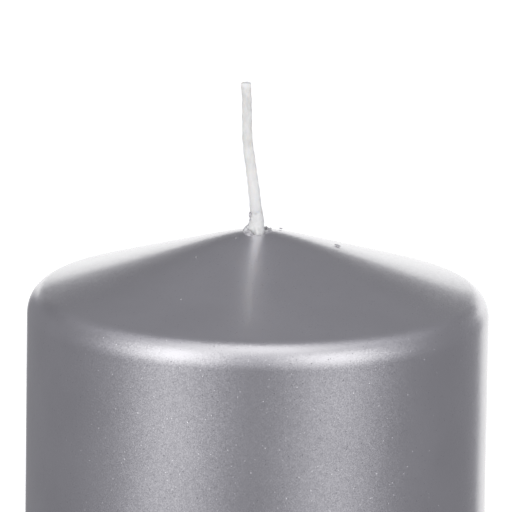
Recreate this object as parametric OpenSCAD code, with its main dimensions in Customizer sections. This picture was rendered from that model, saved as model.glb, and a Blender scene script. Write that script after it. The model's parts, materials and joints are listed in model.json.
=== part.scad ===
// Pillar candle: pressed wax core, hard dipped wax, metallic lacquer film and a wick with a steel foot clip.
// Millimetres, +Z up, origin in the middle of the base. The exposed wick leans towards -X.

/* [Candle] */
// Diameter of the straight wall, over the lacquer
candle_d = 70; // [50:1:90]
// Height from the base to the blunt top of the cone, without the wick
candle_h = 100; // [60:1:200]
// Slope of the conical top, in degrees
cone_slope = 17.4; // [10:0.1:25]
// Bluntness of the cone's top: the distance from the axis at which the slope fades out
bluntness = 4; // [2:0.5:8]
// Radius of the rounded shoulder between wall and cone
shoulder_r = 3.7; // [2.2:0.1:5]
// Radius of the rounded edge at the base
base_edge_r = 1; // [0.5:0.1:1.5]

/* [Layers] */
// Thickness of the metallic lacquer film
lacquer_t = 0.2; // [0.1:0.05:0.3]
// Thickness of the hard wax dipped over the core
overdip_t = 1.5; // [1:0.1:1.8]
// Radius of the round window in the lacquer where the wick comes out
window_r = 2.1; // [1.7:0.1:3]

/* [Wick] */
// Diameter of the plaited wick
wick_d = 1.6; // [1.2:0.1:1.8]
// Length of wick that stands above the cone, measured upright
wick_exposed = 23; // [18:1:30]
// Lean of the lower part of the exposed wick, in degrees
wick_lean = 8; // [3:1:9]
// Lean that is left near the tip, in degrees
tip_lean = 1; // [0:0.5:2]
// Length of the leaning straight part
leaning_l = 13; // [8:1:14]

/* [Foot clip] */
// Diameter of the stamped disc
clip_d = 20; // [16:1:26]
// Thickness of its steel
clip_t = 0.3; // [0.2:0.05:0.5]
// Height of the neck that is crimped on the wick
neck_h = 7; // [4:1:12]
// Depth of the recess in the base that holds the disc
recess_h = 1.4; // [1:0.1:3]

/* [Root of the wick] */
// Radius of the white wax bead where it meets the cone
bead_r = 1.4; // [1.2:0.1:1.6]
// Height that the bead runs up the wick
bead_h = 2.6; // [1.8:0.1:3]
// Number of shards in the torn lacquer rim
shards = 7; // [4:1:9]

/* [Hidden] */
$fn = 96;
outer_r = candle_d / 2;
wick_r = wick_d / 2;
core_t = lacquer_t + overdip_t;

// The shoulder's arc ends, and the slope begins, at slope_start_r. The steps share out the slope.
slope_start_r = outer_r - shoulder_r * (1 - sin(cone_slope));
slope_steps = 14;
cone_rise = shoulder_r * cos(cone_slope) + blunt_fall(slope_start_r);
wall_top = candle_h - cone_rise;

// The wick: upright in its bore, a bend at the root, a leaning run, a bend back and a nearly upright end.
bore_slack = 0.1;
root_bend_r = 12;
upper_bend_r = 16;
joint_ball = 0.02;
root_bend_z = candle_h - 1.4;
wick_foot = recess_h - clip_t;
bends_rise = root_bend_r * sin(wick_lean) + leaning_l * cos(wick_lean)
    + upper_bend_r * (sin(wick_lean) - sin(tip_lean));
upper_l = (candle_h + wick_exposed - root_bend_z - bends_rise) / cos(tip_lean);

// The foot clip and the room for it in the wax.
recess_slack = 0.5;
ridge_r = 6.5;
ridge_half_w = 0.6;
ridge_h = 0.3;

// The torn rim: each shard is a piece of a leaning ring, with a gap to the next one.
shard_step = 360 / shards;
shard_gap = 12;
shard_t = 0.2;
shard_h = [0.5, 0.3, 0.6, 0.35, 0.45];

// Chips on the cone: [azimuth from +X, distance from the axis, width].
chips = [[45, 4.7, 0.7], [30, 14.2, 0.6], [-143, 11.8, 0.35], [-139, 4.6, 0.4], [-120, 23, 0.3]];
// Chips that stick to the wick: height over the cone's top.
wick_chips = [2.7, 3.4];
wick_chip_w = 0.5;
chip_t = 0.15;

// Fall of the blunt cone from its top to a distance r from the axis, and its slope there.
function blunt_fall(r) = tan(cone_slope) * (norm([r, bluntness]) - bluntness);
function blunt_slope(r) = atan(tan(cone_slope) * r / norm([r, bluntness]));
// Height of the cone's surface, t below the lacquer's surface.
function cone_z(r, t = 0) = candle_h - blunt_fall(r) - t / cos(cone_slope);

// Half profile of the candle, t inside its outer surface. The base stays flat at z = 0.
module profile(t = 0) {
    edge_r = max(base_edge_r, t);
    shoulder = [outer_r - shoulder_r, wall_top];
    polygon([
        [0, 0],
        [outer_r - edge_r, 0],
        [outer_r - edge_r, base_edge_r],
        [outer_r - t, base_edge_r],
        [outer_r - t, wall_top],
        shoulder,
        shoulder + (shoulder_r - t) * [sin(cone_slope), cos(cone_slope)],
        for (i = [slope_steps - 1 : -1 : 0])
            let (r = slope_start_r * pow(i / slope_steps, 2)) [r, cone_z(r, t)]
    ]);
    translate(shoulder) circle(r = shoulder_r - t);
    if (t < base_edge_r)
        translate([outer_r - base_edge_r, base_edge_r]) circle(r = base_edge_r - t);
}

// Layer between two depths, open at the base, with a round hole at the top.
module layer(t_out, t_in, hole_r) {
    rotate_extrude()
        difference() {
            profile(t_out);
            profile(t_in);
            square([hole_r, candle_h + 1]);
        }
}

// One bend of the wick towards -X; its children go on from the end of the bend, over a ball.
module bend(radius, angle) {
    translate([-radius, 0, 0])
        rotate([90, 0, 0])
            rotate_extrude(angle = angle)
                translate([radius, 0]) circle(r = wick_r);
    translate([radius * (cos(angle) - 1), 0, radius * sin(angle)])
        rotate([0, -angle, 0]) {
            sphere(r = wick_r + joint_ball);
            children();
        }
}

// The whole wick as one plain round cord.
module wick_solid() {
    translate([0, 0, wick_foot]) cylinder(r = wick_r, h = root_bend_z - wick_foot);
    translate([0, 0, root_bend_z])
        bend(root_bend_r, wick_lean) {
            cylinder(r = wick_r, h = leaning_l);
            translate([0, 0, leaning_l])
                mirror([1, 0, 0])
                    bend(upper_bend_r, wick_lean - tip_lean) cylinder(r = wick_r, h = upper_l);
        }
}

// Places its children on the axis of the wick's leaning run, at a height over the cone's top.
module on_leaning_run(rise) {
    bend_rise = root_bend_r * sin(wick_lean);
    translate([root_bend_r * (cos(wick_lean) - 1), 0, root_bend_z + bend_rise])
        rotate([0, -wick_lean, 0])
            translate([0, 0, (candle_h + rise - root_bend_z - bend_rise) / cos(wick_lean)]) children();
}

module wax_core() {
    color("whitesmoke")
        rotate_extrude()
            difference() {
                profile(core_t);
                square([wick_r + bore_slack, candle_h]);
                square([clip_d / 2 + recess_slack, recess_h]);
                square([wick_r + clip_t + bore_slack, recess_h + neck_h]);
            }
}

module overdip_wax() {
    color("gainsboro") layer(lacquer_t, core_t, wick_r + bore_slack);
}

module silver_lacquer() {
    color("silver") layer(0, lacquer_t, window_r);
}

module wick() {
    color("ivory") wick_solid();
}

// Stamped disc with a pressed ridge, and a neck round the wick.
module wick_clip() {
    top = recess_h;
    low = top - clip_t;
    color("lightsteelblue")
        rotate_extrude()
            polygon([
                [wick_r, low],
                [ridge_r - ridge_half_w, low],
                [ridge_r, low - ridge_h],
                [ridge_r + ridge_half_w, low],
                [clip_d / 2, low],
                [clip_d / 2, top],
                [ridge_r + ridge_half_w, top],
                [ridge_r, top - ridge_h],
                [ridge_r - ridge_half_w, top],
                [wick_r + clip_t, top],
                [wick_r + clip_t, low + neck_h],
                [wick_r, low + neck_h]
            ]);
}

// Wax bead: a concave flare from the hard wax up to the wick.
module root_wax() {
    film_edge = 0.08;
    arc_x = wick_r + film_edge + bead_h;
    color("white")
        difference() {
            translate([0, 0, cone_z(bead_r, lacquer_t)])
                rotate_extrude()
                    difference() {
                        square([bead_r, bead_h]);
                        translate([arc_x, bead_h]) circle(r = bead_h);
                    }
            wick_solid();
            rotate_extrude() profile(lacquer_t);
        }
}

// Ring of film shards that stand inside the window's edge and lean outwards over it.
module torn_lacquer_rim() {
    inner_r = window_r - shard_t;
    foot_z = cone_z(inner_r, lacquer_t);
    edge_z = cone_z(window_r);
    color("darkgray")
        for (i = [0 : shards - 1]) {
            height = shard_h[i % len(shard_h)];
            lean = height / 2;
            rotate([0, 0, i * shard_step])
                rotate_extrude(angle = shard_step - shard_gap)
                    polygon([
                        [inner_r, foot_z],
                        [window_r, foot_z],
                        [window_r, edge_z],
                        [window_r + lean, edge_z + height],
                        [inner_r + lean, edge_z + height],
                        [inner_r, edge_z]
                    ]);
        }
}

module lacquer_crumbs() {
    color("dimgray") {
        for (chip = chips)
            rotate([0, 0, chip[0]])
                translate([chip[1], 0, cone_z(chip[1])])
                    rotate([0, blunt_slope(chip[1]), 0]) cylinder(r = chip[2] / 2, h = chip_t);
        for (rise = wick_chips)
            on_leaning_run(rise)
                translate([-wick_r - chip_t, 0, 0])
                    rotate([0, 90, 0]) cylinder(r = wick_chip_w / 2, h = chip_t);
    }
}

wax_core();
overdip_wax();
silver_lacquer();
wick();
wick_clip();
root_wax();
torn_lacquer_rim();
lacquer_crumbs();
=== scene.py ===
"""Silver lacquered pillar candle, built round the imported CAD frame.

Metres, +Z up. The photographed side faces -Y and the exposed wick leans towards -X.
"""
import json
import math

import bpy
from mathutils import Matrix, Vector, noise

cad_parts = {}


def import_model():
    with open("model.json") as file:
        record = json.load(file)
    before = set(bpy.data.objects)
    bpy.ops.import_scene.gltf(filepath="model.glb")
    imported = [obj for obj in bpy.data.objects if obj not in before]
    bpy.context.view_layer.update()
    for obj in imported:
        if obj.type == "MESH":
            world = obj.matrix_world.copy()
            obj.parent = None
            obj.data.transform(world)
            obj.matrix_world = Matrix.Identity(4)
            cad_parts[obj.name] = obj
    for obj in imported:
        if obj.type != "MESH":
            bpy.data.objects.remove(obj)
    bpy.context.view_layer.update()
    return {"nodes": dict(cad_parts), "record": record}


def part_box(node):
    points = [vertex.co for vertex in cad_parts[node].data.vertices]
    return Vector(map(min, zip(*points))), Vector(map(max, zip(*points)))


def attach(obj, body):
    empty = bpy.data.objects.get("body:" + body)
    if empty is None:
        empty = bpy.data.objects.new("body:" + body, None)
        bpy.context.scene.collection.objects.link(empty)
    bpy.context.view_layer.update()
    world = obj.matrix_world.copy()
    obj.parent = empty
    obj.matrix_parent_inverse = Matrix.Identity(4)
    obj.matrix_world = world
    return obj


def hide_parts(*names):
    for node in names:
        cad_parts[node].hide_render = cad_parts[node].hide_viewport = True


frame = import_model()
MM = 0.001
MOUNTS = {m["name"]: m for m in frame["record"]["mounts"]}

# The candle's outline: the same dimensions as the CAD model's.
OUTER_R = MOUNTS["holder_wall"]["dims"]["r_mm"] * MM
CONE_SLOPE = math.radians(17.4)
BLUNTNESS = 4 * MM
SHOULDER_R = 3.7 * MM
BASE_EDGE_R = 1 * MM
LACQUER_T = 0.2 * MM
WINDOW_R = 2.1 * MM
SLOPE_START_R = OUTER_R - SHOULDER_R * (1 - math.sin(CONE_SLOPE))


def blunt_fall(r):
    """Fall of the blunt cone from its top to a distance r from the axis."""
    return math.tan(CONE_SLOPE) * (math.hypot(r, BLUNTNESS) - BLUNTNESS)


CONE_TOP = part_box("silver_lacquer")[1].z + blunt_fall(WINDOW_R)
WICK_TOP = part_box("wick")[1].z
WICK_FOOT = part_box("wick")[0].z
# Round the wick's root the film lies a little fuller: how much, how far from the axis, and how soon that fades.
SWELL = 0.14 * MM
SWELL_R = 3 * MM
SWELL_REACH = 8 * MM


def cone_z(r):
    """Height of the lacquered cone at a distance r from the axis."""
    return CONE_TOP - blunt_fall(r) + SWELL * math.exp(-((r - SWELL_R) / SWELL_REACH) ** 2)


def cone_slope(r):
    """Fall of the cone per length, at a distance r from the axis."""
    return math.tan(CONE_SLOPE) * r / math.hypot(r, BLUNTNESS)


def smooth(x):
    """Smooth step of x, held to 0 and 1 outside them."""
    x = min(max(x, 0.0), 1.0)
    return x * x * (3 - 2 * x)


def mix(a, b, t):
    """Value between a and b at share t."""
    return a + (b - a) * t


def between(knots, at):
    """Smooth value at a place between neighbouring (place, value) knots, and the end values beyond them."""
    for (a, low), (b, high) in zip(knots, knots[1:]):
        if at <= b:
            return mix(low, high, smooth((at - a) / (b - a)))
    return knots[-1][1]


def around(knots, degrees):
    """Value at an azimuth, with knots from -180 to 180 degrees."""
    return between(knots, (degrees + 180) % 360 - 180)


def ripple(p, size, seed=0.0):
    """Soft noise from -1 to 1 that changes over the given size."""
    return noise.noise(Vector((p[0] / size + seed, p[1] / size - seed, p[2] / size + 2 * seed)))


# ---------------------------------------------------------------- meshes


def new_object(name, verts, faces, material, sharp_deg=40):
    """Smooth mesh object, with sharp edges only where its faces turn by more than sharp_deg degrees."""
    mesh = bpy.data.meshes.new(name)
    mesh.from_pydata([tuple(v) for v in verts], [], faces)
    mesh.validate()
    mesh.shade_smooth()
    mesh.set_sharp_from_angle(angle=math.radians(sharp_deg))
    obj = bpy.data.objects.new(name, mesh)
    bpy.context.scene.collection.objects.link(obj)
    mesh.materials.append(material)
    return obj


def tube_faces(rings, n):
    """Quads between neighbouring rings of n points each, and a cap at both ends."""
    faces = []
    for j in range(rings - 1):
        a = j * n
        b = a + n
        for i in range(n):
            k = (i + 1) % n
            faces.append((a + i, a + k, b + k, b + i))
    faces.append(tuple(range(n))[::-1])
    faces.append(tuple(range((rings - 1) * n, rings * n)))
    return faces


def show(obj, node):
    """Rides on the candle's only body and stands for the CAD node named, which it hides."""
    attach(obj, "root")
    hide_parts(node)


def add_sides(obj, keys, sides):
    """Gives an object more materials, and each of its faces the slot number of its side."""
    for key in keys:
        obj.data.materials.append(MATS[key])
    for face, side in zip(obj.data.polygons, sides):
        face.material_index = side


def thicken(obj, thickness, inner_step=0):
    """Gives a sheet its thickness; inner_step is how many material slots further its inner side is."""
    modifier = obj.modifiers.new("thickness", "SOLIDIFY")
    modifier.thickness = thickness
    modifier.offset = 0.0
    modifier.material_offset = inner_step
    modifier.material_offset_rim = inner_step


# ---------------------------------------------------------------- materials


class Nodes:
    """Short way to write a node tree."""

    def __init__(self, tree):
        self.tree = tree
        tree.nodes.clear()

    def add(self, kind, inputs=None, **settings):
        """New node; inputs are linked where they are sockets, and set as values otherwise."""
        node = self.tree.nodes.new(kind)
        for key, value in settings.items():
            setattr(node, key, value)
        for key, value in (inputs or {}).items():
            socket = node.inputs[key]
            if isinstance(value, bpy.types.NodeSocket):
                self.tree.links.new(value, socket)
            else:
                socket.default_value = value
        return node

    def position(self):
        """Place on the object, in metres."""
        return self.add("ShaderNodeTexCoord").outputs["Object"]

    def noise(self, size, detail=2.0, rough=0.5, vector=None):
        """Cloudy noise whose largest spots have the given size."""
        inputs = {"Vector": vector or self.position(), "Scale": 1 / size, "Detail": detail, "Roughness": rough}
        return self.add("ShaderNodeTexNoise", inputs).outputs["Fac"]

    def ramp(self, value, low, high, out_low=0.0, out_high=1.0):
        """Smooth change from out_low to out_high while the value goes from low to high."""
        ends = {"Value": value, "From Min": low, "From Max": high, "To Min": out_low, "To Max": out_high}
        return self.add("ShaderNodeMapRange", ends, interpolation_type="SMOOTHSTEP").outputs["Result"]

    def maths(self, operation, a, b=0.0):
        """Result of one Math node."""
        return self.add("ShaderNodeMath", {0: a, 1: b}, operation=operation).outputs[0]

    def blend(self, factor, a, b):
        """Colour between a and b."""
        node = self.add("ShaderNodeMix", data_type="RGBA")
        for index, value in ((0, factor), (6, a), (7, b)):
            if isinstance(value, bpy.types.NodeSocket):
                self.tree.links.new(value, node.inputs[index])
            else:
                node.inputs[index].default_value = value
        return node.outputs[2]

    def bump(self, height, distance, strength=1.0):
        """Normal bent by a height from 0 to 1 that stands for the distance."""
        inputs = {"Height": height, "Distance": distance, "Strength": strength}
        return self.add("ShaderNodeBump", inputs).outputs["Normal"]

    def end_in(self, shader, output="ShaderNodeOutputMaterial"):
        """Links the last shader to the tree's output."""
        self.add(output, {"Surface": shader.outputs[0]})

    def surface(self, **inputs):
        """Ends the tree in one Principled shader."""
        self.end_in(self.add("ShaderNodeBsdfPrincipled", {k.replace("_", " "): v for k, v in inputs.items()}))


def material(name):
    """New material and its empty node tree."""
    made = bpy.data.materials.new(name)
    made.use_nodes = True
    return made, Nodes(made.node_tree)


# The lacquer's flakes: their size and tilt, the larger tilt of the few that glint, and the shares of those and
# of the dull ones.
FLAKE_SIZE = 0.14 * MM
FLAKE_TILT = 0.1
GLINT_TILT = 0.5
GLINT_SHARE = 0.012
DULL_SHARE = 0.005


def lacquer_material():
    """Aluminium flakes in a clear binder: a soft metallic surface with flake grain, under a smoother coat."""
    made, n = material("silver_lacquer_film")
    flakes = n.add("ShaderNodeTexVoronoi", {"Vector": n.position(), "Scale": 1 / FLAKE_SIZE}, feature="F1")
    chance = n.add("ShaderNodeTexWhiteNoise", {"Vector": flakes.outputs["Position"]}).outputs["Value"]
    glint = n.maths("LESS_THAN", chance, GLINT_SHARE)
    dull = n.maths("GREATER_THAN", chance, 1 - DULL_SHARE)
    # Each cell is one flake. Its random colour, centred on zero, is the way in which it tilts the surface.
    amount = n.ramp(glint, 0.0, 1.0, FLAKE_TILT, GLINT_TILT)
    tilt = n.add("ShaderNodeVectorMath", {0: flakes.outputs["Color"], 1: (0.5, 0.5, 0.5)}, operation="SUBTRACT")
    tilt = n.add("ShaderNodeVectorMath", {0: tilt.outputs[0], "Scale": amount}, operation="SCALE")
    normal = n.add("ShaderNodeNewGeometry").outputs["Normal"]
    normal = n.add("ShaderNodeVectorMath", {0: normal, 1: tilt.outputs[0]}, operation="ADD")
    normal = n.add("ShaderNodeVectorMath", {0: normal.outputs[0]}, operation="NORMALIZE").outputs[0]
    cloud = n.ramp(n.noise(9 * MM, 3.0), 0.3, 0.7)
    colour = n.blend(cloud, (0.722, 0.711, 0.749, 1), (0.758, 0.747, 0.786, 1))
    colour = n.blend(dull, colour, (0.60, 0.585, 0.64, 1))
    n.surface(Base_Color=colour, Metallic=1.0, Roughness=0.325, Normal=normal, Coat_Weight=1.0,
              Coat_Roughness=0.14, Coat_IOR=1.5)
    return made


def chip_painted_shade_material():
    """Broken piece of film, dark grey with painted shade for the shadow it stands in."""
    made, n = material("broken_lacquer_painted_shade")
    patch = n.ramp(n.noise(0.4 * MM, 3.0), 0.42, 0.6)
    colour = n.blend(patch, (0.40, 0.40, 0.41, 1), (0.64, 0.64, 0.66, 1))
    n.surface(Base_Color=colour, Metallic=0.2, Roughness=n.ramp(patch, 0.0, 1.0, 0.35, 0.5))
    return made


def crumpled_film_material():
    """Silver side of the torn film, crumpled."""
    made, n = material("crumpled_lacquer")
    fold = n.noise(0.45 * MM, 3.0)
    colour = n.blend(n.ramp(fold, 0.36, 0.62), (0.52, 0.51, 0.54, 1), (0.78, 0.77, 0.80, 1))
    n.surface(Base_Color=colour, Metallic=0.15, Roughness=0.42, Normal=n.bump(fold, 0.08 * MM, 0.8))
    return made


def film_back_material():
    """Underside of the film, with white wax still on it."""
    made, n = material("wax_backed_film")
    lumps = n.noise(0.3 * MM, 3.0)
    colour = n.blend(n.ramp(lumps, 0.36, 0.6), (0.50, 0.50, 0.52, 1), (0.90, 0.90, 0.91, 1))
    n.surface(Base_Color=colour, Roughness=0.4, Normal=n.bump(lumps, 0.03 * MM, 0.6), Coat_Weight=0.3,
              Coat_Roughness=0.25)
    return made


def wick_material():
    """Cotton yarns under a film of wax that is thicker low down; the wick is whiter low down, partly for that
    wax and partly as painted light that makes up for the cone's shade there.
    """
    made, n = material("waxed_cotton")
    place = n.position()
    stretched = n.add("ShaderNodeMapping", {"Vector": place, "Scale": (1.0, 1.0, 0.12)}).outputs[0]
    fibre = n.noise(0.12 * MM, 3.0, 0.6, stretched)
    blotch = n.ramp(n.noise(1.4 * MM, 3.0), 0.35, 0.65)
    height = n.add("ShaderNodeSeparateXYZ", {0: place}).outputs["Z"]
    # Whiter towards the root: thicker wax there, and painted light against the shade of the cone.
    wax_and_painted_light = n.ramp(height, CONE_TOP + 5 * MM, CONE_TOP + 17 * MM, 1.0, 0.0)
    cotton = n.blend(blotch, (0.70, 0.70, 0.69, 1), (0.80, 0.80, 0.79, 1))
    wax = n.blend(blotch, (0.94, 0.94, 0.93, 1), (0.99, 0.99, 0.98, 1))
    colour = n.blend(n.ramp(fibre, 0.35, 0.65, 0.0, 0.35), n.blend(wax_and_painted_light, cotton, wax), (0.93, 0.93, 0.92, 1))
    cut_end = n.ramp(height, WICK_TOP - 1.0 * MM, WICK_TOP - 0.2 * MM)
    colour = n.blend(cut_end, colour, (0.95, 0.95, 0.94, 1))
    n.surface(Base_Color=colour, Roughness=0.5, Normal=n.bump(fibre, 0.02 * MM, 0.6), Subsurface_Weight=0.7,
              Subsurface_Radius=(1.1 * MM, 1.0 * MM, 0.9 * MM), Subsurface_Scale=1.0, Coat_Weight=0.1,
              Coat_Roughness=0.3)
    return made


def white_wax_material():
    """Clear white wax of the bead, and of the hard layer that shows underneath."""
    made, n = material("white_wax")
    lumps = n.noise(0.6 * MM, 3.0)
    colour = n.blend(n.ramp(lumps, 0.35, 0.65), (0.90, 0.90, 0.89, 1), (0.98, 0.98, 0.98, 1))
    n.surface(Base_Color=colour, Roughness=0.35, Normal=n.bump(lumps, 0.03 * MM, 0.5), Subsurface_Weight=0.35,
              Subsurface_Radius=(0.4 * MM, 0.38 * MM, 0.36 * MM), Subsurface_Scale=1.0, Coat_Weight=0.3,
              Coat_Roughness=0.2)
    return made


def pressed_wax_material():
    """Wax granules pressed into one block, with their borders still visible."""
    made, n = material("pressed_wax")
    grain = n.add("ShaderNodeTexVoronoi", {"Vector": n.position(), "Scale": 1 / (1.3 * MM)},
                  feature="DISTANCE_TO_EDGE").outputs["Distance"]
    colour = n.blend(n.ramp(grain, 0.0, 0.12), (0.62, 0.61, 0.59, 1), (0.84, 0.83, 0.80, 1))
    n.surface(Base_Color=colour, Roughness=0.55, Normal=n.bump(n.ramp(grain, 0.0, 0.15), 0.08 * MM, 0.8),
              Subsurface_Weight=0.3, Subsurface_Radius=(1.5 * MM, 1.2 * MM, 1.0 * MM), Subsurface_Scale=1.0)
    return made


def clip_material():
    """Rolled tinned steel."""
    made, n = material("tinned_steel")
    streak = n.add("ShaderNodeMapping", {"Vector": n.position(), "Scale": (1.0, 0.05, 1.0)}).outputs[0]
    brushed = n.noise(0.2 * MM, 4.0, 0.6, streak)
    colour = n.blend(n.ramp(brushed, 0.35, 0.65), (0.50, 0.50, 0.52, 1), (0.66, 0.66, 0.68, 1))
    n.surface(Base_Color=colour, Metallic=1.0, Roughness=n.ramp(brushed, 0.3, 0.7, 0.25, 0.45))
    return made


MATS = {
    "lacquer": lacquer_material(),
    "chips": chip_painted_shade_material(),
    "wick": wick_material(),
    "film_back": film_back_material(),
    "white_wax": white_wax_material(),
    "crumpled": crumpled_film_material(),
    "pressed_wax": pressed_wax_material(),
    "clip": clip_material(),
}

# ---------------------------------------------------------------- lacquer film over the body

# How the shoulder's curvature fades towards the wall: 1 would be a plain arc.
SHOULDER_EASE = 1.3


def shoulder(steps=30, parts=20):
    """Points of the turn from the cone down to the wall, as (r, z, normal r, normal z)."""
    turn = math.pi / 2 - CONE_SLOPE
    total = steps * parts
    r = 0.0
    z = 0.0
    run = [(r, z, turn)]
    for i in range(total):
        a = turn * (1 - (i + 0.5) / total) ** SHOULDER_EASE
        r += math.sin(a)
        z -= math.cos(a)
        if (i + 1) % parts == 0:
            run.append((r, z, turn * (1 - (i + 1) / total) ** SHOULDER_EASE))
    scale = (OUTER_R - SLOPE_START_R) / r
    start = cone_z(SLOPE_START_R)
    return [(SLOPE_START_R + scale * r, start + scale * z, math.cos(a), math.sin(a)) for r, z, a in run]


def outline(window, base_steps=6, wall_steps=70, cone_steps=46):
    """Outer half profile from the base to the window, as (r, z, normal r, normal z)."""
    points = []
    flat_r = OUTER_R - BASE_EDGE_R
    for i in range(base_steps + 1):
        a = math.radians(-90 + 90 * i / base_steps)
        nr = math.cos(a)
        nz = math.sin(a)
        points.append((flat_r + BASE_EDGE_R * nr, BASE_EDGE_R * (1 + nz), nr, nz))
    turn = shoulder()[::-1]
    wall_top = turn[0][1]
    for i in range(1, wall_steps):
        points.append((OUTER_R, mix(BASE_EDGE_R, wall_top, i / wall_steps), 1.0, 0.0))
    points += turn
    for i in range(1, cone_steps + 1):
        r = mix(SLOPE_START_R, window, i / cone_steps)
        length = math.hypot(1, cone_slope(r))
        points.append((r, cone_z(r), cone_slope(r) / length, 1 / length))
    return points


# Azimuths round the root are in degrees: 0 faces -Y, positive towards +X.
# Edge of the window in the lacquer, as (azimuth, mm from the axis).
WINDOW_EDGE = ((-180, 2.1), (-100, 2.25), (-45, 2.1), (-12, 2.45), (12, 2.15), (35, 1.45), (75, 1.5),
               (115, 2.1), (180, 2.1))


def facing(degrees):
    """Unit vector at an azimuth round the root."""
    a = math.radians(degrees)
    return Vector((math.sin(a), -math.cos(a), 0))


def build_lacquer(n=256):
    """The film as a thin shell with a slightly wavy surface and a ragged window at the wick."""
    verts = []
    for i in range(n):
        degrees = 360 * i / n
        direction = facing(degrees)
        ragged = ripple(direction * 3, 0.5, 2.7) * 0.07
        profile = outline((around(WINDOW_EDGE, degrees) + ragged) * MM)
        inner = [(r - LACQUER_T * nr, max(z - LACQUER_T * nz, 0.0), nr, nz) for r, z, nr, nz in profile[::-1]]
        for r, z, nr, nz in profile + inner:
            p = direction * r + Vector((0, 0, z))
            # The waves fade out towards the base, which stays flat.
            fade = smooth((z - 2 * MM) / (6 * MM))
            wave = (ripple(p, 13 * MM, 3.1) * 0.018 + ripple(p, 5 * MM, 7.7) * 0.004) * MM * fade
            verts.append(p + (direction * nr + Vector((0, 0, nz))) * wave)
    count = len(verts) // n
    faces = []
    for i in range(n):
        a = i * count
        b = (i + 1) % n * count
        for j in range(count):
            k = (j + 1) % count
            faces.append((a + j, b + j, b + k, a + k))
    show(new_object("lacquer_film", verts, faces, MATS["lacquer"]), "silver_lacquer")


# ---------------------------------------------------------------- wick

# The wick's axis, as in the CAD: upright, a bend at the root, a leaning run, a bend back, a nearly upright end.
WICK_LEAN = math.radians(8)
TIP_LEAN = math.radians(1)
ROOT_BEND_R = 12 * MM
UPPER_BEND_R = 16 * MM
LEANING_L = 13 * MM
ROOT_BEND_Z = CONE_TOP - 1.4 * MM
LEAN_Z = ROOT_BEND_Z + ROOT_BEND_R * math.sin(WICK_LEAN)
UPPER_BEND_Z = LEAN_Z + LEANING_L * math.cos(WICK_LEAN)
UPPER_Z = UPPER_BEND_Z + UPPER_BEND_R * (math.sin(WICK_LEAN) - math.sin(TIP_LEAN))


def wick_centre(z):
    """Point of the wick's axis at a height."""
    rise = min(max(z, ROOT_BEND_Z), LEAN_Z) - ROOT_BEND_Z
    x = ROOT_BEND_R - math.sqrt(ROOT_BEND_R ** 2 - rise ** 2)
    x += math.tan(WICK_LEAN) * (min(max(z, LEAN_Z), UPPER_BEND_Z) - LEAN_Z)
    side = UPPER_BEND_R * math.sin(WICK_LEAN) - (min(max(z, UPPER_BEND_Z), UPPER_Z) - UPPER_BEND_Z)
    x += math.sqrt(UPPER_BEND_R ** 2 - side ** 2) - UPPER_BEND_R * math.cos(WICK_LEAN)
    x += math.tan(TIP_LEAN) * (max(z, UPPER_Z) - UPPER_Z)
    return Vector((-x, 0, z))


# How far the slightly wavy wick stands to +X of that axis, and its radius over the wax, both as knots of
# (height over the cone's top, value) in mm.
WICK_SWAY = ((0, 0.0), (1.7, -0.03), (3.5, 0.03), (6, 0.1), (14, 0.06), (18, 0.03), (20.5, 0.0), (22.5, -0.1))
WICK_GIRTH = ((-1.5, 0.8), (0, 0.92), (1.8, 0.97), (5.5, 0.9), (8.5, 0.86), (11, 0.84), (14, 0.79), (17, 0.76),
              (20, 0.735), (21.3, 0.75), (22.3, 0.81))


def wick_place(z):
    """Visible axis of the wick at a height."""
    return wick_centre(z) + Vector((between(WICK_SWAY, (z - CONE_TOP) / MM) * MM, 0, 0))


def wick_radius(z):
    """Radius over the wax film: fuller low down, thinner above, with a spread cut end."""
    return between(WICK_GIRTH, (z - CONE_TOP) / MM) * MM


# Height in which a strand of the plait goes once round the wick.
PLAIT_PITCH = 5.1515 * MM
# Below the cone the wick is hidden and has few rings; its relief begins just under the window.
COARSE_TO_Z = CONE_TOP - 3 * MM
COARSE_STEP = 4 * MM
FINE_STEP = 0.13 * MM
RELIEF_FROM_Z = CONE_TOP - 1 * MM
CUT_Z = WICK_TOP - 0.48 * MM
# Rings over the cut end: share of the radius, and rise in mm.
CUT_RINGS = ((0.97, 0.12), (0.90, 0.22), (0.76, 0.30), (0.52, 0.34), (0.26, 0.35))


def plait(a, z):
    """Relief of a three-strand plait: the strands cross as two opposed spirals."""
    turn = 2 * math.pi * z / PLAIT_PITCH
    left = math.cos(1.5 * (a + turn))
    right = math.cos(1.5 * (a - turn))
    return max(left * left, right * right) - 0.75


def build_wick(n=48):
    """The whole wick: its plain hidden part, the plaited and waxed part, and the uneven cut end."""
    verts = []
    angles = [2 * math.pi * i / n for i in range(n)]
    spokes = [Vector((math.cos(a), math.sin(a), 0)) for a in angles]
    levels = [WICK_FOOT]
    while levels[-1] < COARSE_TO_Z:
        levels.append(levels[-1] + COARSE_STEP)
    levels[-1] = COARSE_TO_Z
    while levels[-1] < CUT_Z:
        levels.append(levels[-1] + FINE_STEP)
    for z in levels:
        centre = wick_place(z)
        radius = wick_radius(z)
        for a, out in zip(angles, spokes):
            p = centre + out * radius
            lift = 0.0
            if z >= RELIEF_FROM_Z:
                lift = plait(a, z) * 0.05 + ripple(p, 1.5 * MM, 1.3) * 0.06
                lift += ripple(p, 0.4 * MM, 5.0) * 0.02
            verts.append(centre + out * (radius + lift * MM))
    for share, rise in CUT_RINGS:
        for out in spokes:
            p = wick_place(levels[-1]) + out * wick_radius(levels[-1]) * share
            bump = ripple(p, 0.5 * MM, 2.2) * 0.25 * MM * (1 - share * share)
            p.z = min(p.z + rise * MM + bump, WICK_TOP)
            verts.append(p)
    faces = tube_faces(len(levels) + len(CUT_RINGS), n)
    show(new_object("cotton_wick", verts, faces, MATS["wick"], 70), "wick")


# ---------------------------------------------------------------- wax bead, torn film and crumbs at the root


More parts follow.
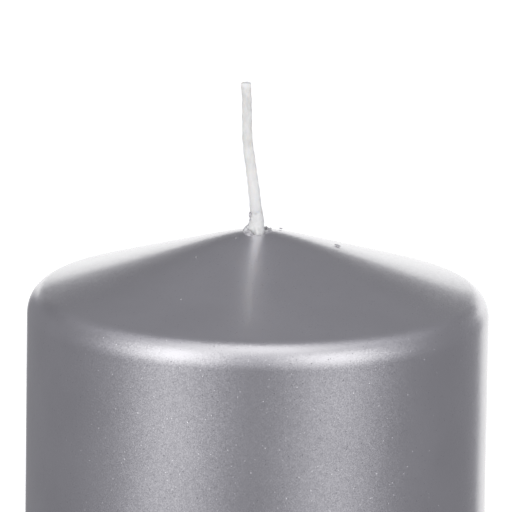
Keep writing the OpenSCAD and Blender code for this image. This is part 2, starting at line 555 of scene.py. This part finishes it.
# The bead's foot as (azimuth, mm from the axis), and how far the bead bulges out above it, as (azimuth, mm).
BEAD_FOOT = ((-180, 1.4), (-110, 2.0), (-70, 1.9), (-28, 1.7), (-7, 2.72), (10, 1.98), (30, 1.4), (60, 1.0),
             (90, 0.85), (140, 1.0), (180, 1.4))
BEAD_SIDE = ((-180, 0.1), (-125, 0.3), (-85, 0.75), (-50, 0.5), (-20, 0.15), (20, 0.0), (50, -0.22),
             (100, -0.28), (150, -0.1), (180, 0.1))
# Height of the bead over its foot, and how deep the foot is sunk in the lacquer.
BEAD_H = 3.6 * MM
BEAD_SUNK = 0.12 * MM
# How hollow the flare is: 1 would be a plain cone.
BEAD_FLARE = 3.2


def build_bead(n=72, rows=34):
    """White wax that flares from the wick to an uneven foot, with a tongue in front and a mass on the left."""
    verts = []
    for j in range(rows + 1):
        t = j / rows
        for i in range(n):
            degrees = 360 * i / n
            direction = facing(degrees)
            foot = around(BEAD_FOOT, degrees) * MM
            z = cone_z(foot) - BEAD_SUNK + BEAD_H * t ** 1.4
            rise = (z - CONE_TOP) / MM
            # The wax on the wick thins out upwards, and the bead's upper edge turns in.
            skin = 0.05 * (1 - t ** 3) + 0.16 * (1 - smooth(rise / 3.2))
            skin += around(BEAD_SIDE, degrees) * (1 - smooth(rise / 1.7))
            neck = wick_radius(z) + skin * MM
            r = neck + max(foot - neck, 0.0) * (1 - t) ** BEAD_FLARE - 0.09 * MM * smooth(6 * t - 5)
            centre = wick_place(z).x * smooth(t * 2.5)
            p = Vector((centre, 0, z)) + direction * r
            lump = ripple(p, 0.8 * MM, 4.4) * 0.10 + ripple(p, 0.35 * MM, 9.1) * 0.05
            verts.append(p + direction * lump * MM * (1 - t))
    faces = tube_faces(rows + 1, n)
    show(new_object("wax_bead", verts, faces, MATS["white_wax"], 70), "root_wax")


# Sides of the torn film as slots of its mesh: each outer side has its inner side in the slot after it.
FILM_SLOTS = ("film_back", "crumpled", "film_back", "chips", "chips")
PALE = 0
SILVER = 1
# The dark side is the chips' dark grey on both faces, which is painted shade.
DARK_PAINTED_SHADE = 3
FILM_T = 0.08 * MM
# Sheets of torn film round the root: azimuth of both ends; distance of the foot from the axis at both ends;
# height and outward lean at the start, middle and end; depth of the crumples, all in mm; and the outer side.
SHEETS = (
    (-118, -50, 2.42, 2.30, (0.75, 1.20, 0.30), (-0.55, -0.90, -0.35), 0.07, PALE),
    (-74, -14, 2.45, 3.10, (0.20, 0.56, 0.28), (-0.25, -0.85, -0.60), 0.14, SILVER),
    (-34, 26, 3.0, 2.38, (0.10, 0.14, 0.08), (-0.10, -0.10, -0.05), 0.10, SILVER),
    (28, 122, 1.12, 1.85, (0.20, 0.40, 0.50), (0.10, 0.12, 0.08), 0.05, PALE),
    # This dark sheet stands in the shadowed gap behind the bead: its dark grey is painted shade.
    (66, 124, 0.90, 1.15, (0.80, 0.62, 0.30), (0.02, 0.10, 0.30), 0.10, DARK_PAINTED_SHADE),
    (134, 178, 2.10, 2.10, (0.12, 0.22, 0.15), (0.20, 0.35, 0.20), 0.10, SILVER),
    (184, 246, 2.10, 2.15, (0.20, 0.42, 0.25), (0.15, 0.25, 0.20), 0.10, PALE),
)


def three(values, u):
    """Smooth value between the start, middle and end ones."""
    start, middle, end = values
    return mix(start, middle, smooth(2 * u)) if u < 0.5 else mix(middle, end, smooth(2 * u - 1))


def build_torn_film(columns=26, rows=8):
    """Sheets of film that stand up round the root, bent outwards, with ragged edges and crumples."""
    verts = []
    faces = []
    sides = []
    for k, (start, end, foot_a, foot_b, heights, leans, crumple, side) in enumerate(SHEETS):
        base = len(verts)
        for j in range(rows + 1):
            v = j / rows
            for i in range(columns + 1):
                u = i / columns
                direction = facing(mix(start, end, u))
                ragged = 1 + 0.35 * ripple((u * 5, k, 0), 0.9, k) + 0.2 * ripple((u * 13, k, 3), 0.9, k)
                taper = smooth(min(u, 1 - u) * 8)
                tall = three(heights, u) * mix(0.25, ragged, taper) * v
                lean = three(leans, u) * v ** 2.5
                fold = ripple(direction * 4 + Vector((0, 0, v)), 0.9, k + 1.5) * crumple * v
                foot = mix(foot_a, foot_b, smooth(u)) + 0.12 * ripple((u * 8, k, 6), 0.9, k)
                r = (foot + lean + fold) * MM
                rise = ripple(direction * 6 + Vector((0, 0, 2 * v)), 0.8, k + 4.5) * crumple * 0.6 * v
                z = cone_z(foot * MM) + (tall + rise - 0.06) * MM
                verts.append(direction * r + Vector((0, 0, z)))
        for j in range(rows):
            for i in range(columns):
                p = base + j * (columns + 1) + i
                faces.append((p, p + 1, p + columns + 2, p + columns + 1))
                sides.append(side)
    obj = new_object("torn_film", verts, faces, MATS[FILM_SLOTS[0]], 60)
    add_sides(obj, FILM_SLOTS[1:], sides)
    thicken(obj, FILM_T, inner_step=1)
    show(obj, "torn_lacquer_rim")


# Chips on the cone: azimuth in degrees, distance from the axis in mm, width and length in mm, tilt out of the
# surface in degrees, and height over the surface in mm. The first ones show their pale side; the others are dark
# grey with painted shade.
CHIPS = (
    (139, 5.0, 0.26, 0.56, 30, 0.12),
    (100, 12.1, 0.50, 0.95, 20, 0.03),
    (-53, 11.8, 0.24, 0.34, 15, 0.0),
    (-49, 4.6, 0.24, 0.34, 20, 0.0),
    (-30, 23.0, 0.22, 0.30, 10, 0.0),
)
PALE_CHIPS = 2
# Chips on the wick, all pale: height over the cone's top in mm, azimuth, then width and height in mm.
WICK_CHIPS = ((2.65, -60, 0.55, 0.85), (1.75, -72, 0.34, 0.34))
# They lie nearly flat against it, this far out from its surface.
WICK_CHIP_TURN = 86
WICK_CHIP_OUT = 0.17 * MM
# The seeds of their outlines go on from this one.
WICK_CHIP_SEED = 7
CHIP_T = 0.09 * MM
# A chip's middle layer lies this high over the cone.
CHIP_LIFT = 0.04 * MM


def turned(degrees, axis):
    """Rotation about one axis."""
    return Matrix.Rotation(math.radians(degrees), 4, axis)


def flake(verts, faces, place, width, length, seed):
    """Adds one curved chip with five to seven corners at a place, and gives the number of its faces."""
    corners = 5 + seed % 3
    first = len(verts)
    verts.append(place @ Vector((0, 0, 0.2 * width)))
    for i in range(corners):
        a = 2 * math.pi * i / corners
        reach = 0.5 + 0.12 * ripple((a, seed, 0), 0.9, seed)
        verts.append(place @ Vector((length * reach * math.cos(a), width * reach * math.sin(a), 0.0)))
    for i in range(corners):
        faces.append((first, first + 1 + i, first + 1 + (i + 1) % corners))
    return corners


def build_crumbs():
    """Loose chips of film on the cone and on the wick."""
    verts = []
    faces = []
    sides = []
    for k, (azimuth, r_mm, width, length, tilt, over) in enumerate(CHIPS):
        r = r_mm * MM
        slope = math.degrees(math.atan(cone_slope(r)))
        lift = CHIP_LIFT + (over + 0.45 * width * math.sin(math.radians(tilt))) * MM
        place = (Matrix.Translation(facing(azimuth) * r + Vector((0, 0, cone_z(r) + lift)))
                 @ turned(azimuth - 90, "Z") @ turned(slope, "Y")
                 @ turned(90 - azimuth, "Z") @ turned(tilt, "X"))
        sides += [int(k < PALE_CHIPS)] * flake(verts, faces, place, width * MM, length * MM, k)
    for k, (rise, azimuth, width, length) in enumerate(WICK_CHIPS, WICK_CHIP_SEED):
        z = CONE_TOP + rise * MM
        out = wick_radius(z) + WICK_CHIP_OUT
        place = (Matrix.Translation(wick_place(z) + facing(azimuth) * out)
                 @ turned(azimuth - 90, "Z") @ turned(WICK_CHIP_TURN, "Y"))
        sides += [1] * flake(verts, faces, place, width * MM, length * MM, k)
    obj = new_object("film_crumbs", verts, faces, MATS["chips"], 30)
    add_sides(obj, ("crumpled",), sides)
    thicken(obj, CHIP_T)
    show(obj, "lacquer_crumbs")


def dress(node, key):
    """Gives a CAD node that stays its own material."""
    obj = frame["nodes"][node]
    obj.data.materials.clear()
    obj.data.materials.append(MATS[key])


build_lacquer()
build_wick()
build_bead()
build_torn_film()
build_crumbs()
dress("overdip_wax", "white_wax")
dress("wax_core", "pressed_wax")
dress("wick_clip", "clip")

# ---------------------------------------------------------------- studio


# The studio, in degrees of azimuth (0 is the camera's side, positive to +X) and elevation. All edges are soft.
# Most of these settings come from a least-squares fit to the brightness of the photographed candle, made outside
# this script; they were rounded, and some were then changed.
# The room's radiance, and two parts of it that differ: the camera's side, as half width, softness and radiance,
# and what lies low, as highest elevation, softness and radiance.
ROOM_LEVEL = 0.25
FRONT_ROOM = (80, 12, 0.0)
LOW_ROOM = (-17.4, 8, 0.21)
# Panels, the later ones over the earlier: azimuth and half width, lowest and highest elevation, softness of the
# upright, lower and upper edges, and radiance.
PANELS = {
    "dim_wall": (180, 48, 15, 29, 25, 5, 5, 0.185),
    "back_glow": (180, 44, 32, 180, 30, 8, 8, 0.268),
    "softbox_left": (-42.8, 21.1, -9.7, 46.5, 35, 25, 8, 1.88),
    "softbox_right": (39.2, 23, -9, 39, 35, 25, 8, 1.67),
    "ceiling": (0, 82, 41, 180, 66, 19, 8, 1.15),
}
# The backdrop, over all of these, is a low bright sheet: azimuth of its peak, its reach to both sides and how
# that grows with elevation, the height of the peak and its droop to both sides, its foot, the softness of its
# edges, and its radiance at two elevations.
BACKDROP_AT = 163.8
BACKDROP_REACH = {"right": 17.3, "left": 32.0}
BACKDROP_SLANT = {"right": 0.12, "left": 0.58}
BACKDROP_PEAK = 13.8
BACKDROP_DROOP = {"right": 0.27, "left": 0.14}
BACKDROP_FOOT = -19.1
BACKDROP_SOFT = {"side": 5.9, "top": 2.7, "foot": 6.0}
BACKDROP_LEVEL = ((-9, 1.02), (3, 1.14))
# Colour of the room's dim parts, and the radiances between which it fades to the white of the bright ones.
DIM_TINT = (1.003, 1.0, 1.065, 1)
TINT_FADE = (0.3, 1.0)
WHITE = (1, 1, 1, 1)


def world():
    """Studio that depends on direction only: a dim room with soft panels and a bright backdrop."""
    made = bpy.data.worlds.new("studio")
    made.use_nodes = True
    bpy.context.scene.world = made
    n = Nodes(made.node_tree)
    axes = n.add("ShaderNodeSeparateXYZ", {0: n.add("ShaderNodeTexCoord").outputs["Generated"]}).outputs
    back = n.maths("MULTIPLY", axes["Y"], -1.0)
    azimuth = n.maths("DEGREES", n.maths("ARCTAN2", axes["X"], back))
    elevation = n.maths("DEGREES", n.maths("ARCSINE", axes["Z"]))

    def over(value, at, soft):
        """Mask of what lies over a soft edge."""
        return n.ramp(value, at - soft, at + soft)

    def under(value, at, soft):
        """Mask of what lies under a soft edge."""
        return n.ramp(value, at - soft, at + soft, 1.0, 0.0)

    def layer(base, mask, level):
        """The base with another level where the mask is."""
        return n.add("ShaderNodeMapRange", {"Value": mask, "To Min": base, "To Max": level}).outputs["Result"]

    def turn_from(centre):
        """Azimuth counted from another one, within half a turn to both sides."""
        ends = {0: n.maths("SUBTRACT", azimuth, centre), 1: 180.0, 2: -180.0}
        return n.add("ShaderNodeMath", ends, operation="WRAP").outputs[0]

    def backdrop():
        """Mask and radiance of the backdrop."""
        turn = turn_from(BACKDROP_AT)
        away = n.maths("ABSOLUTE", turn)
        left = n.maths("GREATER_THAN", turn, 0.0)
        reach_right, reach_left = (n.maths("ADD", BACKDROP_REACH[side],
                                           n.maths("MULTIPLY", elevation, BACKDROP_SLANT[side]))
                                   for side in ("right", "left"))
        past = n.maths("SUBTRACT", away, layer(reach_right, left, reach_left))
        droop = layer(BACKDROP_DROOP["right"], left, BACKDROP_DROOP["left"])
        height = n.maths("ADD", elevation, n.maths("MULTIPLY", away, droop))
        mask = n.maths("MULTIPLY", under(past, 0.0, BACKDROP_SOFT["side"]),
                       under(height, BACKDROP_PEAK, BACKDROP_SOFT["top"]))
        (low_at, low), (high_at, high) = BACKDROP_LEVEL
        return (n.maths("MULTIPLY", mask, over(elevation, BACKDROP_FOOT, BACKDROP_SOFT["foot"])),
                n.ramp(elevation, low_at, high_at, low, high))

    half, soft, level = FRONT_ROOM
    light = layer(ROOM_LEVEL, under(n.maths("ABSOLUTE", azimuth), half, soft), level)
    at, soft, level = LOW_ROOM
    light = layer(light, under(elevation, at, soft), level)
    for centre, half, low, high, side_soft, low_soft, high_soft, level in PANELS.values():
        between_edges = n.maths("MULTIPLY", over(elevation, low, low_soft), under(elevation, high, high_soft))
        between_sides = under(n.maths("ABSOLUTE", turn_from(centre)), half, side_soft)
        light = layer(light, n.maths("MULTIPLY", between_sides, between_edges), level)
    light = layer(light, *backdrop())
    # The camera itself sees plain white behind the candle.
    light = layer(light, n.add("ShaderNodeLightPath").outputs["Is Camera Ray"], 1.0)
    tint = n.blend(n.ramp(light, *TINT_FADE), DIM_TINT, WHITE)
    shader = n.add("ShaderNodeBackground", {"Color": tint, "Strength": light})
    n.end_in(shader, "ShaderNodeOutputWorld")


FLOOR_HALF = 4.0
FLOOR_COLOUR = (0.86, 0.86, 0.86, 1)
FLOOR_GLOW = 0.6


def floor():
    """Pale floor, clear from below so that the underside can be seen. Reflections see the studio instead."""
    made, n = material("pale_floor")
    pale = n.add("ShaderNodeBsdfDiffuse", {"Color": FLOOR_COLOUR})
    glow = n.add("ShaderNodeEmission", {"Color": WHITE, "Strength": FLOOR_GLOW})
    lit = n.add("ShaderNodeAddShader", {0: pale.outputs[0], 1: glow.outputs[0]})
    clear = n.add("ShaderNodeBsdfTransparent")
    below = n.add("ShaderNodeNewGeometry").outputs["Backfacing"]
    both = n.add("ShaderNodeMixShader", {0: below, 1: lit.outputs[0], 2: clear.outputs[0]})
    n.end_in(both)
    corners = [(x * FLOOR_HALF, y * FLOOR_HALF, 0) for x, y in ((-1, -1), (1, -1), (1, 1), (-1, 1))]
    obj = new_object("floor", corners, [(0, 1, 2, 3)], made)
    obj.visible_glossy = False


# The camera looks at the aim point with the candle's axis a little off the picture's middle.
VIEW_ELEVATION = math.radians(13.19)
VIEW_ROLL = math.radians(0.85)
VIEW_DISTANCE = 1.2
VIEW_LENS = 557.6
VIEW_AIM = Vector((-0.42 * MM, 0, CONE_TOP - 3.88 * MM))


def camera():
    """The camera at the photograph's angle."""
    data = bpy.data.cameras.new("camera")
    data.lens = VIEW_LENS
    data.sensor_width = 36
    data.clip_start = 0.05
    data.clip_end = 20
    obj = bpy.data.objects.new("camera", data)
    way = Vector((0, -math.cos(VIEW_ELEVATION), math.sin(VIEW_ELEVATION)))
    obj.location = VIEW_AIM + way * VIEW_DISTANCE
    turn = (-way).to_track_quat("-Z", "Y").to_matrix().to_4x4()
    obj.rotation_euler = (turn @ Matrix.Rotation(VIEW_ROLL, 4, "Z")).to_euler()
    bpy.context.scene.collection.objects.link(obj)
    bpy.context.scene.camera = obj


world()
floor()
camera()
bpy.context.scene.view_settings.view_transform = "Standard"
